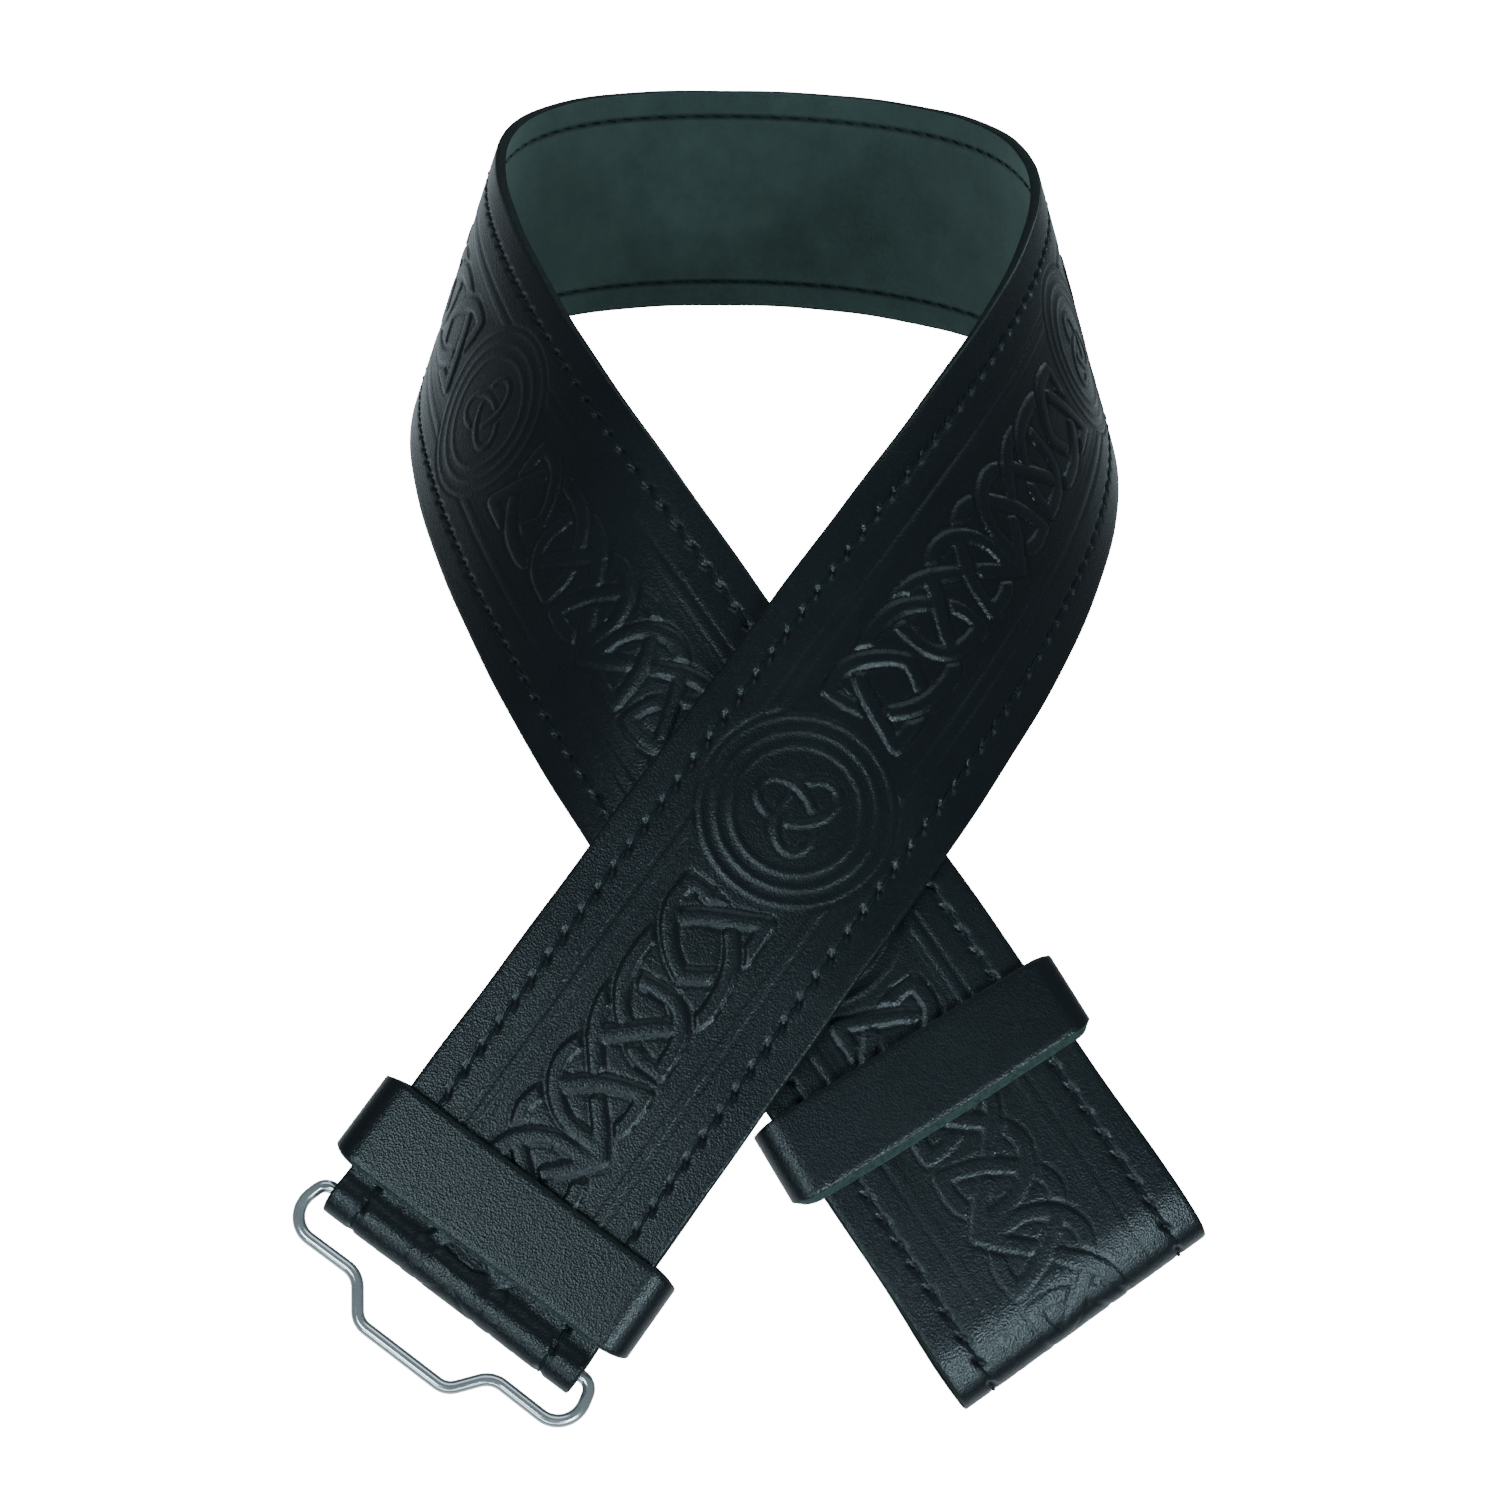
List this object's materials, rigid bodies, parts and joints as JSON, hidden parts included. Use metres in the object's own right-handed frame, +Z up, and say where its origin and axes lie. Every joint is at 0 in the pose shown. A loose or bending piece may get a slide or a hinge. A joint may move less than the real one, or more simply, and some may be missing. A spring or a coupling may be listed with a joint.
{
  "type": "kilt belt",
  "caption": "Wide embossed leather kilt belt bent into a crossed loop, with a leather keeper on each folded end and a bent wire buckle loop.",
  "frame": {"origin": "middle of the bounding box, on the surface that the belt stands on", "axes": "+Z up from the surface, +Y from the crossed ends towards the back of the loop, +X to the right of someone who faces the crossed ends"},
  "size_m": [0.1784, 0.3466, 0.103],
  "materials": {
    "leather": "smooth blue-black grain leather with a soft sheen, dark green-grey suede on the inside",
    "chrome_wire": "bright plated round wire"
  },
  "bodies": {
    "belt": {"strap": "leather", "keeper_left": "leather", "keeper_right": "leather"},
    "buckle_loop": {"wire_loop": "chrome_wire"}
  },
  "joints": [
    {"name": "loop_swing", "type": "hinge", "parent": "belt", "child": "buckle_loop", "pos_m": [-0.05087, -0.14945, 0.00669], "axis": [-0.8643, 0.4943, 0.0934], "range_deg": [-140, 110]}
  ]
}
